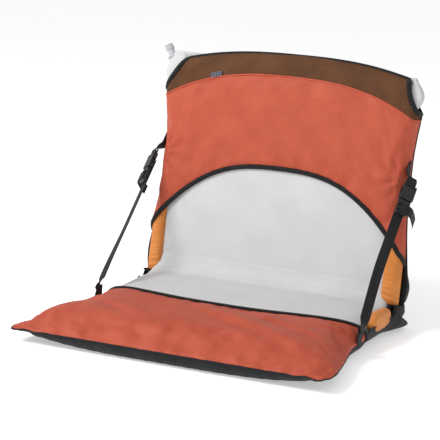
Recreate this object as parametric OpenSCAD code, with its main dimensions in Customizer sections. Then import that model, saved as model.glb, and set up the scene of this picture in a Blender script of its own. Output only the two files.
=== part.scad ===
// Chair kit: a fabric shell that folds a self-inflating sleeping pad into a ground chair.
// The seat lies on the ground, the back stands behind it on a fabric hinge, and two
// buckled webbing straps hold the back up. Millimetres, +Z up, front towards -Y.
// Left and right are as seen from the front, so left is -X. The origin is on the
// ground, at the middle of the chair's length and width.

/* [Seat] */
// Half width of the seat pocket at its front corners
seat_front_half = 306; // [296:1:316]
// Half width of the seat from the strap anchors to the crease
seat_side_half = 261.5; // [259:0.5:263]
// Length of the seat from the front seam to the rear foot
seat_length = 488; // [482:1:494]
// Height of the pad under the edge of the pocket
seat_height = 62; // [58:1:64]
// Height of the seam between the pocket panel and the base panel
seat_seam_z = 25; // [22:1:28]
// Height of the pad at the crease
crease_height = 68; // [66:1:70]
// Distance from the front seam to the crease
crease_y = 410; // [408:1:411]
// Distance from the front seam to the middle of the pocket's edge
pocket_depth = 225; // [215:1:235]
// How far the pocket's edge runs back from its middle to its ends
pocket_sweep = 57; // [45:1:65]

/* [Back] */
// Lean of the back from upright, in degrees
back_lean = 9.4; // [8.5:0.1:10.5]
// Height of the back along its lean, to the middle of its hem
back_height = 450; // [445:1:455]
// Half width of the back at its foot and its shoulders
back_half = 262; // [260:1:264]
// Half width of the back at its waist, beside the buckles
waist_half = 252; // [250:1:253]
// Thickness of the back above the bulge at its foot
back_thickness = 42; // [40:1:46]
// Depth of the bulge at the foot of the back
foot_depth = 87; // [80:1:90]
// Depth of the side seam behind the front face
side_seam_depth = 30; // [24:1:34]
// Height of the arch's crown
arch_top = 227; // [215:1:240]
// Drop of the arch from its crown to its ends
arch_drop = 126; // [110:1:135]
// Height of the seam between the panel and the mesh, at its middle
mesh_seam_top = 407; // [400:1:412]
// Drop of the mesh seam from its middle to its ends
mesh_seam_drop = 57; // [45:1:65]

/* [Fabric] */
// Thickness of a fabric wall with its lining
fabric_t = 2; // [1.6:0.2:2.4]
// Width of the binding tape
binding_w = 9; // [7:1:12]
// Thickness of the pad's coated skin
skin_t = 1.2; // [1:0.1:1.6]
// Half width of the pad inside the back
pad_back_half = 243.5; // [240:0.5:244]
// Half width of the pad inside the seat
pad_seat_half = 250; // [244:1:251]

/* [Stays] */
// Thickness of a stay
stay_t = 3; // [2.5:0.5:3]
// Width of a stay
stay_w = 12; // [10:1:14]

/* [Straps and buckles] */
// Width of the webbing
webbing_w = 20; // [18:1:20]
// Thickness of the webbing
webbing_t = 1.6; // [1.2:0.2:1.8]
// Distance from the chair's middle to each strap
strap_x = 266; // [265.5:0.5:268]
// Angle of the strap from upright, in degrees
strap_tilt = 46.12; // [46:0.01:46.3]
// Twist of the buckle about the strap, in degrees
buckle_twist = 43; // [38:1:48]
// Length of the strap's hanging tail
tail_length = 42; // [30:1:50]

/* [Hidden] */

cloth_red = [0.72, 0.30, 0.22];
cloth_black = [0.12, 0.12, 0.13];
lining_orange = [0.85, 0.50, 0.25];
mesh_brown = [0.38, 0.25, 0.16];
pad_grey = [0.84, 0.84, 0.84];
foam_yellow = [0.93, 0.88, 0.66];
stay_grey = [0.55, 0.57, 0.60];
buckle_black = [0.08, 0.08, 0.09];

reach = 330;        // half length of the cutting prisms, past every side
curve_steps = 16;   // straight pieces in each curved edge
curve_power = 2.6;  // how sharply the edges fall near their ends
arch_power = 2.75;
pad_gap = 0.2;      // room between the pad and the fabric round it
foam_gap = 0.2;     // room between the foam and the skin
sleeve_z = 36;      // foot of the seat's orange sleeves
sleeve_w = 22;      // how far each sleeve covers the pad's edge
wall_foot = 6;      // height of the black fabric along the back's foot
hem_half = 228;     // half width of the top hem
hem_drop = 24;      // fall of the hem from its middle to its ends
shoulder_s = 364;   // height where the open corners begin
back_foot = [421, 52];      // foot of the back's front face, as (y, z)
strap_foot = [243, 55];     // strap hinge on the seat, as (y, z)
buckle_pivot = [462, 285];  // buckle hinge on the back, as (y, z)

function unit(v) = v / norm(v);

// Moves each edge of a counter-clockwise outline inwards by d.
function inset(points, d) = let(n = len(points)) [
    for (i = [0:n - 1])
        let(
            u = unit(points[i] - points[(i + n - 1) % n]),
            v = unit(points[(i + 1) % n] - points[i]),
            a = [-u.y, u.x],
            b = [-v.y, v.x]
        )
        points[i] + d * (a + b) / (1 + a * b)
];

// A right half outline, listed from foot to top, joined to its mirror image.
function both_sides(half) = concat(half, [for (i = [len(half) - 1:-1:0]) [-half[i].x, half[i].y]]);

// Falls from 1 at the middle to 0 at half, and stays there.
function fall(x, half, power) = pow(min(1, abs(x) / half), power);
function pocket_edge(x) = pocket_depth + pocket_sweep * fall(x, seat_side_half, 2.4);
function arch_edge(x) = arch_top - arch_drop * fall(x, 256, arch_power);
function mesh_seam(x) = mesh_seam_top - mesh_seam_drop * fall(x, 255, curve_power);
function hem_edge(x) = back_height - hem_drop * fall(x, hem_half, curve_power);

// Places along a curved edge, from right to left, with the outer ones past the sides.
curve_x = concat([reach], [for (i = [curve_steps:-1:-curve_steps]) i * back_half / curve_steps], [-reach]);

// Seat outlines: side as (y, z), plan as (x, y), front as (x, z).
seat_side = [
    [30, 0], [seat_length - 10, 0], [seat_length, 4], [crease_y + 1, 45], [crease_y, crease_height - 6],
    [crease_y - 6, crease_height], [300, 65], [pocket_depth, seat_height], [90, 61], [50, 55],
    [20, 42], [4, 30], [0, seat_seam_z], [6, 12], [18, 2.5]
];
seat_plan = both_sides([
    [seat_front_half - 14, 0], [seat_front_half - 3, 5], [seat_front_half, 16], [seat_front_half - 2, 45],
    [296, 80], [283, 130], [270, 175], [seat_side_half + 1, 205], [seat_side_half, 225],
    [seat_side_half, 390], [274, 432], [274, 470], [266, seat_length + 2]
]);
seat_front = both_sides([
    [276, 0], [296, 8], [seat_front_half, 21], [seat_front_half, seat_seam_z + 2], [290, 38], [262, 51],
    [248, 60], [232, 66], [200, crease_height + 1]
]);

// Back outlines, along its lean: side as (depth, height), outline as (x, height) and
// section as (x, depth). Depth runs rearwards from the front face.
back_side = [
    [-3, -2.5], [foot_depth - 7, 10], [foot_depth, 18], [foot_depth - 3, 30], [66, 56], [50, 86],
    [back_thickness + 1, 118], [back_thickness, 160], [back_thickness, 400],
    [back_thickness - 5, 430], [back_thickness - 15, back_height - 4],
    [15, back_height], [6, back_height - 5], [1, 436], [0, 424], [0, 6]
];
waist_side = [
    [back_half, -20], [back_half, 100], [waist_half + 4, 150], [waist_half, 190],
    [waist_half, 285], [waist_half + 4, 322], [back_half, shoulder_s]
];
shoulder_cut = [[back_half, shoulder_s], [246, 392], [234, 418], [hem_half, hem_edge(hem_half)]];
hem_right = [for (i = [curve_steps - 1:-1:0]) let(x = i * hem_half / curve_steps) [x, hem_edge(x)]];
back_outline = both_sides(concat(waist_side, [for (i = [1:3]) shoulder_cut[i]], hem_right));
// Inside the shell: open past the shoulders, where the pad's corners come through.
back_hollow = both_sides(concat(
    [for (p = waist_side) p - [fabric_t, 0]],
    [[reach, shoulder_s], [reach, hem_edge(hem_half) - fabric_t]],
    [for (p = hem_right) p - [0, fabric_t]]
));
back_section = both_sides([
    [226, 0], [246, 5], [256, 14], [back_half, side_seam_depth], [back_half, foot_depth - 9],
    [back_half - 9, foot_depth + 3]
]);

pad_outline = both_sides(concat(
    [
        [pad_back_half, -20], [pad_back_half, 345], [256, 370], [266, 386], [268, 400], [262, 424],
        [252, 433], [237, 433], [230, 421]
    ],
    [for (i = [curve_steps - 1:-1:1]) hem_right[curve_steps - 1 - i] - [0, fabric_t + 0.5]]
));
pad_section = both_sides([
    [224, fabric_t + pad_gap], [244, 7.6], [253, 15.8], [258.5, 26], [266, 28], [268, 34], [260, 39]
]);
pad_plan = both_sides([
    [pad_seat_half - 26, 24], [pad_seat_half - 8, 32], [pad_seat_half, 50],
    [pad_seat_half, seat_length]
]);

module across_x(points) {
    rotate([90, 0, 90]) translate([0, 0, -reach]) linear_extrude(2 * reach) polygon(points);
}

module along_y(points, from, to) {
    translate([0, to, 0]) rotate([90, 0, 0]) linear_extrude(to - from) polygon(points);
}

module along_z(points, from, to) {
    translate([0, 0, from]) linear_extrude(to - from) polygon(points);
}

// Turns the back's own frame (x, depth, height) into the chair's.
module on_back() {
    translate([0, back_foot.x, back_foot.y]) rotate([-back_lean, 0, 0]) children();
}

// The chair's length is measured from the front seam, so every node is moved forwards by half of it.
function back_y(p) = back_foot.x + p.y * sin(back_lean) + p.x * cos(back_lean);
rear_y = max([for (p = back_side) back_y(p)]);
module centred() {
    translate([0, -rear_y / 2, 0]) children();
}

// Seat

module seat_solid(shrink) {
    intersection() {
        across_x(inset(seat_side, shrink));
        along_z(inset(seat_plan, shrink), -1, 90);
        along_y(inset(seat_front, shrink), -5, seat_length + 10);
    }
}

module seat_shell() {
    difference() {
        seat_solid(0);
        seat_solid(fabric_t);
    }
}

// All that lies in front of the pocket's edge, moved back by shift.
module pocket_region(shift, z_from) {
    edge = [for (x = curve_x) [x, pocket_edge(x) + shift]];
    along_z(concat([[-reach, -20], [reach, -20]], edge), z_from, 90);
}

module seat_base_panel() color(cloth_black) centred() intersection() {
    seat_shell();
    union() {
        translate([-reach, -20, -5]) cube([2 * reach, 520, seat_seam_z + 5]);
        translate([-reach, pocket_depth + pocket_sweep, seat_seam_z - 1])
            cube([2 * reach, 240, sleeve_z - seat_seam_z + 1]);
        translate([-reach, crease_y + 1, sleeve_z - 1]) cube([2 * reach, 100, 12]);
    }
}

module seat_pocket_panel() color(cloth_red) centred() intersection() {
    seat_shell();
    pocket_region(-binding_w, seat_seam_z);
}

module seat_pocket_binding() color(cloth_black) centred() intersection() {
    seat_shell();
    difference() {
        pocket_region(0, seat_seam_z);
        pocket_region(-binding_w, seat_seam_z - 1);
    }
}

module seat_sleeve(side) color(lining_orange) centred() intersection() {
    seat_shell();
    difference() {
        translate([side > 0 ? seat_side_half - sleeve_w : -reach, pocket_depth, sleeve_z])
            cube([reach - seat_side_half + sleeve_w, crease_y - pocket_depth - 1, 60]);
        pocket_region(0, 0);
    }
}
module seat_sleeve_left() seat_sleeve(-1);
module seat_sleeve_right() seat_sleeve(1);

seat_stay_y = [62, 402];  // ends of the seat stays
seat_stay_z = 22;         // foot of the seat stays
seat_stay_x = pad_seat_half + 2;

module seat_stay(side) color(stay_grey) centred()
    mirror([side < 0 ? 1 : 0, 0, 0]) translate([seat_stay_x, seat_stay_y[0], seat_stay_z])
        cube([stay_t, seat_stay_y[1] - seat_stay_y[0], stay_w]);
module seat_stay_left() seat_stay(-1);
module seat_stay_right() seat_stay(1);

// A moulded cap for the end of a stay, closed towards -Z, with its socket at z = 0.
tip_wall = 0.9;
tip_depth = 12;
module stay_tip() {
    difference() {
        translate([-tip_wall, -tip_wall, -tip_wall])
            cube([stay_t + 2 * tip_wall, stay_w + 2 * tip_wall, tip_depth]);
        cube([stay_t, stay_w, tip_depth]);
    }
}

module seat_stay_tips() color(buckle_black) centred() for (side = [0, 1]) mirror([side, 0, 0]) {
    translate([seat_stay_x, seat_stay_y[0], seat_stay_z + stay_w]) rotate([-90, 0, 0]) stay_tip();
    translate([seat_stay_x, seat_stay_y[1], seat_stay_z]) rotate([90, 0, 0]) stay_tip();
}

module seat_pad(shrink) {
    intersection() {
        seat_solid(fabric_t + pad_gap + shrink);
        along_z(inset(pad_plan, shrink), -1, 90);
    }
}

module mattress_skin_seat() color(pad_grey) centred() difference() {
    seat_pad(0);
    seat_pad(skin_t);
}

module mattress_foam_seat() color(foam_yellow) centred() seat_pad(skin_t + foam_gap);

anchor_t = 2.2;      // thickness of a sewn anchor patch
anchor_l = 30;       // length of a sewn anchor patch
module strap_anchor(side) color(cloth_black) centred()
    mirror([side < 0 ? 1 : 0, 0, 0])
        translate([seat_side_half, strap_foot.x - webbing_w / 2, strap_foot.y + 4 - anchor_l])
            cube([anchor_t, webbing_w, anchor_l]);
module strap_anchor_left() strap_anchor(-1);
module strap_anchor_right() strap_anchor(1);

// Back

module back_solid(shrink, outline) {
    intersection() {
        across_x(inset(back_side, shrink));
        along_y(outline, -10, foot_depth + 10);
        along_z(inset(back_section, shrink), -20, back_height + 20);
    }
}

module back_shell(outside, inside) {
    difference() {
        back_solid(outside, outside > 0 ? back_hollow : back_outline);
        back_solid(inside, back_hollow);
    }
}

// All that lies above a curved edge of the back, moved up by shift.
module above_arch(shift) {
    along_y(concat([for (x = curve_x) [x, arch_edge(x) + shift]], [[-reach, 500], [reach, 500]]), -20, 120);
}
module above_mesh_seam() {
    along_y(concat([for (x = curve_x) [x, mesh_seam(x)]], [[-reach, 500], [reach, 500]]), -20, 120);
}
module above_hem(shift) {
    along_y(concat([for (x = curve_x) [x, hem_edge(x) + shift]], [[-reach, 500], [reach, 500]]), -20, 120);
}

// The strip along one open corner, on the side that side names.
module shoulder_strip(side) {
    inner = [for (i = [3:-1:0]) shoulder_cut[i] - [binding_w, binding_w / 2]];
    strip = concat([shoulder_cut[0] + [9, -9]], [for (p = shoulder_cut) p + [9, 0]], [[hem_half, 460]],
        [[hem_half - binding_w, 460]], inner);
    mirror([side < 0 ? 1 : 0, 0, 0]) along_y(strip, -20, 120);
}

module front_half() {
    translate([-reach, -20, -30]) cube([2 * reach, 20 + side_seam_depth, 520]);
}

module back_rear_panel() color(cloth_black) centred() on_back() difference() {
    intersection() {
        back_shell(0, fabric_t);
        union() {
            translate([-reach, side_seam_depth, -30]) cube([2 * reach, 100, 520]);
            translate([-reach, -20, -30]) cube([2 * reach, 120, 30 + wall_foot]);
        }
    }
    above_hem(-binding_w);
    shoulder_strip(-1);
    shoulder_strip(1);
}

module back_pocket_panel() color(cloth_red) centred() on_back() difference() {
    intersection() {
        back_shell(0, fabric_t);
        front_half();
        above_arch(binding_w);
    }
    above_mesh_seam();
    shoulder_strip(-1);
    shoulder_strip(1);
}

module arch_binding() color(cloth_black) centred() on_back() difference() {
    intersection() {
        back_shell(0, fabric_t);
        front_half();
        above_arch(0);
    }
    above_arch(binding_w);
}

module mesh_layer(outside, inside) {
    difference() {
        intersection() {
            back_shell(outside, inside);
            along_y(back_outline, -20, 120);
            front_half();
            above_mesh_seam();
        }
        above_hem(-binding_w);
        shoulder_strip(-1);
        shoulder_strip(1);
        // Behind the hem's tape, where only the rear panel goes on.
        translate([-hem_half, side_seam_depth - 8, mesh_seam_top]) cube([2 * hem_half, 20, 60]);
    }
}
module mesh_panel() color(mesh_brown) centred() on_back() mesh_layer(0, fabric_t / 2);
module mesh_backing() color(lining_orange) centred() on_back() mesh_layer(fabric_t / 2, fabric_t);

module top_hem_binding() color(cloth_black) centred() on_back() intersection() {
    back_shell(0, fabric_t);
    above_hem(-binding_w);
    translate([-hem_half + binding_w, -20, 300]) cube([2 * (hem_half - binding_w), 120, 200]);
}

module corner_binding(side) color(cloth_black) centred() on_back() intersection() {
    back_shell(0, fabric_t);
    shoulder_strip(side);
}
module corner_binding_left() corner_binding(-1);
module corner_binding_right() corner_binding(1);

module back_sleeve(side) color(lining_orange) centred() on_back() difference() {
    intersection() {
        back_shell(0, fabric_t);
        translate([side > 0 ? back_half - sleeve_w : -reach, -20, wall_foot])
            cube([reach - back_half + sleeve_w, 20 + side_seam_depth, 200]);
    }
    above_arch(0);
}
module back_sleeve_left() back_sleeve(-1);
module back_sleeve_right() back_sleeve(1);

back_stay_s = [14, 336];  // ends of the back stays
back_stay_d = 12;         // depth of the back stays' front edge
back_stay_x = pad_back_half + 1.8;

module back_stay(side) color(stay_grey) centred() on_back()
    mirror([side < 0 ? 1 : 0, 0, 0]) translate([back_stay_x, back_stay_d, back_stay_s[0]])
        cube([stay_t, stay_w, back_stay_s[1] - back_stay_s[0]]);
module back_stay_left() back_stay(-1);
module back_stay_right() back_stay(1);

module back_stay_tips() color(buckle_black) centred() on_back() for (side = [0, 1]) mirror([side, 0, 0]) {
    translate([back_stay_x, back_stay_d, back_stay_s[0]]) stay_tip();
    translate([back_stay_x, back_stay_d + stay_w, back_stay_s[1]]) rotate([180, 0, 0]) stay_tip();
}

module back_pad(shrink) {
    intersection() {
        across_x(inset(back_side, fabric_t + pad_gap + shrink));
        along_y(inset(pad_outline, shrink), -10, foot_depth);
        along_z(inset(pad_section, shrink), -20, back_height);
    }
}

module mattress_skin_back() color(pad_grey) centred() on_back() difference() {
    back_pad(0);
    back_pad(skin_t);
}

module mattress_foam_back() color(foam_yellow) centred() on_back() back_pad(skin_t + foam_gap);

tab_x = -150;      // middle of the woven tab
tab_w = 24;
tab_h = 10;
tab_slope = 14;    // slope of the mesh seam at the tab, in degrees
module woven_tab() color(cloth_black) centred() on_back()
    translate([tab_x, -0.8, mesh_seam(tab_x) + 1]) rotate([0, -tab_slope, 0])
        translate([-tab_w / 2, 0, 0]) cube([tab_w, 0.8, tab_h]);

// Valve, standing on the pad's left top corner

valve_at = [-256, 20, 424];
valve_lean = 32;   // lean of the valve from the back's height, in degrees
neck_r = 7;
neck_h = 15;
cap_r = 8.5;
cap_h = 11;
cap_gap = 0.4;

module on_valve() {
    translate(valve_at) rotate([0, -valve_lean, 0]) children();
}

module valve_body() color(pad_grey) centred() on_back() on_valve() union() {
    cylinder(r = neck_r + 4, h = 3);
    cylinder(r = neck_r, h = neck_h);
}

rib_count = 12;
module valve_cap() color(pad_grey) centred() on_back() on_valve() translate([0, 0, neck_h + cap_gap]) union() {
    cylinder(r = cap_r - 0.8, h = cap_h);
    for (i = [0:rib_count - 1]) rotate([0, 0, i * 360 / rib_count])
        translate([cap_r - 0.8, 0, 1]) cylinder(r = 0.8, h = cap_h - 2);
}

// Straps and buckles. The strap frame has its origin at the buckle hinge: x across the
// chair, y square to the strap and rearwards, z up along the strap to the back.

module on_strap(side) {
    mirror([side < 0 ? 1 : 0, 0, 0])
        translate([0, buckle_pivot.x, buckle_pivot.y]) rotate([-strap_tilt, 0, 0]) children();
}

// The buckle frame: x across the buckle, y towards the chair, z along the strap.
module on_buckle(side) {
    on_strap(side) translate([strap_x, 0, 0]) rotate([0, 0, buckle_twist]) children();
}

strap_drop = 7.4;       // how far the strap passes behind the buckle's middle
strap_top = -22;        // hidden upper end of the strap
strap_straight = -170;  // where the straight upper part of the strap begins
strap_heel = 7;         // webbing past the strap's hinge
strap_steps = 8;
foot_arm = strap_foot - buckle_pivot;
foot_z = foot_arm.x * sin(strap_tilt) + foot_arm.y * cos(strap_tilt);
foot_v = foot_arm.x * cos(strap_tilt) - foot_arm.y * sin(strap_tilt);
under = [strap_x - strap_drop * sin(buckle_twist), strap_drop * cos(buckle_twist)];

// One ring of the strap: four corners, at share f of its lower part still to come.
function strap_ring(f, z) = let(
    eased = f * f * (3 - 2 * f),
    turn = buckle_twist + (90 - buckle_twist) * eased,
    middle = [strap_x * eased + under.x * (1 - eased), foot_v * f * f + under.y * (1 - f * f)],
    across = [cos(turn), sin(turn)] * webbing_w / 2,
    through = [-sin(turn), cos(turn)] * webbing_t / 2
) [
    for (c = [across + through, through - across, -across - through, across - through])
        [middle.x + c.x, middle.y + c.y, z]
];

strap_rings = concat(
    [strap_ring(1, foot_z - strap_heel)],
    [for (i = [0:strap_steps])
        strap_ring(1 - i / strap_steps, foot_z + (strap_straight - foot_z) * i / strap_steps)],
    [strap_ring(0, strap_top)]
);

// A closed strip through rings of four corners.
module ribbon(rings) {
    last = len(rings) - 1;
    polyhedron(
        points = [for (ring = rings) for (p = ring) p],
        faces = concat(
            [[0, 1, 2, 3]],
            [for (i = [0:last - 1]) for (k = [0:3]) [4 * i + k, 4 * i + 4 + k, 4 * i + 4 + (k + 1) % 4]],
            [for (i = [0:last - 1]) for (k = [0:3]) [4 * i + k, 4 * i + 4 + (k + 1) % 4, 4 * i + (k + 1) % 4]],
            [[for (k = [3:-1:0]) 4 * last + k]]
        )
    );
}

module strap(side) color(cloth_black) centred() on_strap(side) ribbon(strap_rings);
module strap_left() strap(-1);
module strap_right() strap(1);

// The webbing sewn to the side of the back, which runs on in line with the strap
anchor_z = 14;
module buckle_anchor(side) color(cloth_black) centred() on_strap(side)
    translate([waist_half, -webbing_w / 2, anchor_z]) cube([anchor_t, webbing_w, anchor_l]);
module buckle_anchor_left() buckle_anchor(-1);
module buckle_anchor_right() buckle_anchor(1);

female_half = 13.5;
female_t = 9;
female_z = [-42, -8];
socket_half = 11.2;
socket_t = 5;
slot_half = 10.5;
bar_z = 3;           // length of each bar along the strap
loop_t = 1.4;
loop_y = 2.6;        // how far each layer of the loop lies from the buckle's middle
round_r = 3;

// A plate with round corners, thick along y.
module plate(half, t, from, to) {
    translate([-half, t / 2, from]) rotate([90, 0, 0]) linear_extrude(t) union() {
        translate([round_r, 0]) square([2 * half - 2 * round_r, to - from]);
        translate([0, round_r]) square([2 * half, to - from - 2 * round_r]);
        for (x = [round_r, 2 * half - round_r]) for (y = [round_r, to - from - round_r])
            translate([x, y]) circle(r = round_r, $fn = 32);
    }
}

module block(half, t, from, to) {
    translate([-half, -t / 2, from]) cube([2 * half, t, to - from]);
}

module buckle_female(side) color(buckle_black) centred() on_buckle(side) difference() {
    plate(female_half, female_t, female_z[0], female_z[1]);
    block(socket_half, socket_t, female_z[0] - 1, female_z[0] + 25);
    block(slot_half, female_t + 2, female_z[1] - bar_z - 3.6, female_z[1] - bar_z);
    // the bar is thinner than the buckle, so that the loop lies within it
    for (face = [-1, 1]) translate([0, face * (female_t / 4 + 0.8), 0])
        block(slot_half, female_t / 2 - 1.2, female_z[1] - bar_z - 1, female_z[1] + 1);
    // side windows for the latches
    for (face = [-1, 1]) translate([face * female_half, 0, 0])
        block(4, 6, female_z[0] + 9, female_z[0] + 21);
}
module buckle_female_left() buckle_female(-1);
module buckle_female_right() buckle_female(1);

loop_path = [
    [-loop_y, 5], [-loop_y, female_z[1] - bar_z], [-loop_y / 2, female_z[1] - bar_z - 2],
    [loop_y / 2, female_z[1] - bar_z - 2], [loop_y, female_z[1] - bar_z], [loop_y, 5]
];

// The outline of a strip of the given thickness along an open path.
function strip_side(path, d) = let(n = len(path) - 1) [
    for (i = [0:n])
        let(
            u = unit(path[max(i, 1)] - path[max(i, 1) - 1]),
            v = unit(path[min(i, n - 1) + 1] - path[min(i, n - 1)]),
            a = [-u.y, u.x],
            b = [-v.y, v.x]
        )
        path[i] + d * (a + b) / (1 + a * b)
];
function strip(path, t) = let(far = strip_side(path, -t / 2)) concat(
    strip_side(path, t / 2), [for (i = [len(far) - 1:-1:0]) far[i]]
);

module buckle_loop(side) color(cloth_black) centred() on_buckle(side)
    rotate([90, 0, 90]) translate([0, 0, -webbing_w / 2]) linear_extrude(webbing_w)
        polygon(strip(loop_path, loop_t));
module buckle_loop_left() buckle_loop(-1);
module buckle_loop_right() buckle_loop(1);

male_half = 12;
male_t = 6;
male_z = [-74, -44];
ladder_slot = 4;
ladder_z = [-70, -59];  // feet of the two webbing slots

module buckle_male(side) color(buckle_black) centred() on_buckle(side) difference() {
    plate(male_half, male_t, male_z[0], male_z[1]);
    for (z = ladder_z) block(slot_half - 0.5, male_t + 2, z, z + ladder_slot);
}
module buckle_male_left() buckle_male(-1);
module buckle_male_right() buckle_male(1);

latch_x = 7.5;       // hinge of each latch from the buckle's middle
latch_foot = male_z[1] + 0.4;
latch_top = -19;
latch_out = 10.8;    // outer face of the latch's press tab
latch_t = 4;

// One latch arm, with its press tab towards +X.
module latch(side, face) color(buckle_black) centred() on_buckle(side)
    mirror([face < 0 ? 1 : 0, 0, 0]) rotate([90, 0, 0]) translate([0, 0, -latch_t / 2])
        linear_extrude(latch_t) polygon([
            [latch_x - 1.4, latch_foot], [latch_x + 1.4, latch_foot], [latch_x + 1.4, latch_foot + 8],
            [latch_out, latch_foot + 12], [latch_out, latch_top - 3], [latch_x + 1, latch_top],
            [latch_x - 1.4, latch_top]
        ]);
module latch_front_left() latch(-1, 1);
module latch_rear_left() latch(-1, -1);
module latch_front_right() latch(1, 1);
module latch_rear_right() latch(1, -1);

// The tail leaves the face of the buckle over its outer edge and hangs rearwards.
tail_gap = male_t / 2 + webbing_t / 2;
face_out = [sin(buckle_twist), -cos(buckle_twist)] * tail_gap;
face_across = [cos(buckle_twist), sin(buckle_twist)];
tail_start = [strap_x, 0] + face_out - face_across * 6;
tail_edge = [strap_x, 0] + face_out + face_across * (male_half + 1);
tail_path = [
    tail_start, tail_edge, tail_edge + [3, 6], tail_edge + [3.5, 14],
    tail_edge + [2.5, 14 + tail_length / 2], tail_edge + [0, tail_length]
];

module strap_tail(side) color(cloth_black) centred() on_strap(side)
    translate([0, 0, male_z[0] + 3]) linear_extrude(webbing_w) polygon(strip(tail_path, webbing_t));
module strap_tail_left() strap_tail(-1);
module strap_tail_right() strap_tail(1);

seat_base_panel();
seat_pocket_panel();
seat_pocket_binding();
seat_sleeve_left();
seat_sleeve_right();
seat_stay_left();
seat_stay_right();
seat_stay_tips();
mattress_skin_seat();
mattress_foam_seat();
strap_anchor_left();
strap_anchor_right();
back_rear_panel();
back_pocket_panel();
arch_binding();
mesh_panel();
mesh_backing();
top_hem_binding();
corner_binding_left();
corner_binding_right();
back_sleeve_left();
back_sleeve_right();
back_stay_left();
back_stay_right();
back_stay_tips();
mattress_skin_back();
mattress_foam_back();
woven_tab();
buckle_anchor_left();
buckle_anchor_right();
valve_body();
valve_cap();
strap_left();
strap_right();
buckle_loop_left();
buckle_loop_right();
buckle_female_left();
buckle_female_right();
buckle_male_left();
buckle_male_right();
latch_front_left();
latch_rear_left();
latch_front_right();
latch_rear_right();
strap_tail_left();
strap_tail_right();
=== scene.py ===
"""A chair kit: a fabric shell that folds a sleeping pad into a ground chair.

Shapes are worked out in millimetres, in three frames: the seat's (x across, y rearwards
from the front seam, z up), the back's (x across, depth rearwards from its front face,
height along its lean) and the strap's (x across, v square to the strap, w along it).
"""
import math

import bpy
import numpy as np
from mathutils import Matrix, Vector, noise


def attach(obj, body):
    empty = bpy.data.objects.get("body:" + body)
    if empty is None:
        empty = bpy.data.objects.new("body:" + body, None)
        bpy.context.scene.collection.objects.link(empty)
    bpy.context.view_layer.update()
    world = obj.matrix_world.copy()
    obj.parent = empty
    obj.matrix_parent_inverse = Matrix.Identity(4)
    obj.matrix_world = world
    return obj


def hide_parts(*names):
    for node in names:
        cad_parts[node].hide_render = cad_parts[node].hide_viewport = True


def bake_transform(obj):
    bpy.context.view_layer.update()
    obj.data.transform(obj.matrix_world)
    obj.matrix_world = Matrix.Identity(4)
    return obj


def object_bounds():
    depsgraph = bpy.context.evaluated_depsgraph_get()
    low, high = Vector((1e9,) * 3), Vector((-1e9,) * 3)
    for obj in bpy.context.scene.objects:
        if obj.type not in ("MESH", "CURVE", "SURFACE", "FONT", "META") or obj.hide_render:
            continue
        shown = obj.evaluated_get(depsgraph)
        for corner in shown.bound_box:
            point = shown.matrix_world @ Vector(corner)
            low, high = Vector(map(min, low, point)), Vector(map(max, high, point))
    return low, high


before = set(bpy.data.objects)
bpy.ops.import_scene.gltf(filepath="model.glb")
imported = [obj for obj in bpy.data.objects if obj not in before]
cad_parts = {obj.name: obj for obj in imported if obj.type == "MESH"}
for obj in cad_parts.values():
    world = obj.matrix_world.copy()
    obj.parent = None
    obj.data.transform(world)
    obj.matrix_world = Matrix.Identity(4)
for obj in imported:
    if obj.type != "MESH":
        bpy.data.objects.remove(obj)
cad_low, cad_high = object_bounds()

MM = 0.001
SIDES = ((-1, "left"), (1, "right"))
FRONT_SEAM = cad_low.y / MM   # where the front seam lies in the row frame
LEAN = math.radians(9.4)      # the back's lean from upright
BACK_FOOT = (421, 52)         # foot of the back's front face, as (y, z)
BUCKLE_PIVOT = (462, 285)     # buckle hinge, as (y, z)
STRAP_FOOT = (243, 55)        # strap hinge, as (y, z)
STRAP_TILT = math.radians(46.12)
STRAP_X = 266
TWIST = math.radians(43)      # turn of the buckle about its strap
SIDE_HALF = 261.5             # half width of the seat behind the pocket
SEAT_REAR = 488               # rear end of the seat's base
SEAM_Z = 25                   # seam between the pocket and the base
BACK_HALF = 262               # half width of the back at its foot and its shoulders
BACK_TOP = 450
SHOULDER = 364                # height where the open corners begin
SIDE_SEAM = 30                # depth of the back's side seam
PAD_REAR = 36                 # depth of the pad's rear face
PANEL_REAR = 42               # depth of the back's rear panel
TAPE_OVERHANG = 1.2           # how far a tape stands out past its edge
WEB_WIDTH = 20
WEB_THICK = 1.7
HEM_HALF = 228
HEM_END = 426                 # height of the hem's two ends
HEM_SHARE = 0.80              # share of the top edge's grid that the hem takes
HEM_SHIFT = 10                # how far the hem sits to the right, pulled by the pad
COLUMNS = 97                  # points across most panels
SEAM_CELLS = 5                # grid cells beside a seam over which cloth lies flatter
CLOTH_FRAMES = 20


# ---- frames and curves

def seat_frame(x, y, z):
    x, y, z = np.broadcast_arrays(x, y, z)
    return np.stack([x, y + FRONT_SEAM, z], -1) * MM


def leaning(depth, height):
    """A place in the back's frame as (y, z) in the seat's frame."""
    y = BACK_FOOT[0] + height * math.sin(LEAN) + depth * math.cos(LEAN)
    return y, BACK_FOOT[1] + height * math.cos(LEAN) - depth * math.sin(LEAN)


def back_frame(x, depth, height):
    return seat_frame(x, *leaning(depth, height))


def strap_frame(side, x, v, w):
    y = BUCKLE_PIVOT[0] + v * math.cos(STRAP_TILT) + w * math.sin(STRAP_TILT)
    z = BUCKLE_PIVOT[1] - v * math.sin(STRAP_TILT) + w * math.cos(STRAP_TILT)
    return seat_frame(side * np.asarray(x, float), y, z)


def soft(at, points, reach=8.0):
    """Value along (place, value) pairs, with the corners rounded over reach."""
    place, value = np.array(points, float).T
    at = np.asarray(at, float)
    return sum(np.interp(at + k * reach, place, value) for k in np.linspace(-1, 1, 9)) / 9


def bell(at, middle, width):
    """A bump of height 1 round a place."""
    return np.exp(-((at - middle) / width) ** 2)


def eased(share):
    """A share from 0 to 1, made to start and end gently."""
    return share * share * (3 - 2 * share)


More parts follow.
